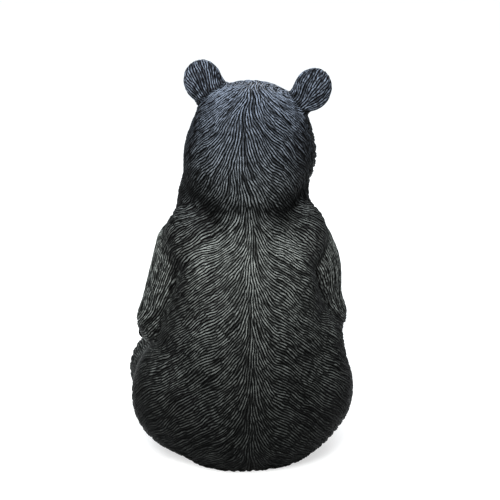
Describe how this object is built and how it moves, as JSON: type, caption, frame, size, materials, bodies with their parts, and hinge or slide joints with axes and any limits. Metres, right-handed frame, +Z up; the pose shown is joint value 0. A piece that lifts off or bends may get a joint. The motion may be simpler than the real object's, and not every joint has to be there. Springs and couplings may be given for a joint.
{
  "type": "sitting bear figurine",
  "caption": "Cast resin figurine of a black bear sitting upright, with carved fur, its forepaws over its thighs and its head turned, standing on its own flat underside.",
  "frame": {"origin": "on the flat underside, where the mid-line of the body meets the floor", "axes": "+Z up, -Y the way the chest faces, +X the bear's own left"},
  "size_m": [0.1711, 0.208, 0.3],
  "materials": {
    "black_resin": "black painted resin, matte, with grey dry-brushed crests"
  },
  "bodies": {
    "root": {"bear": "black_resin"}
  },
  "joints": []
}
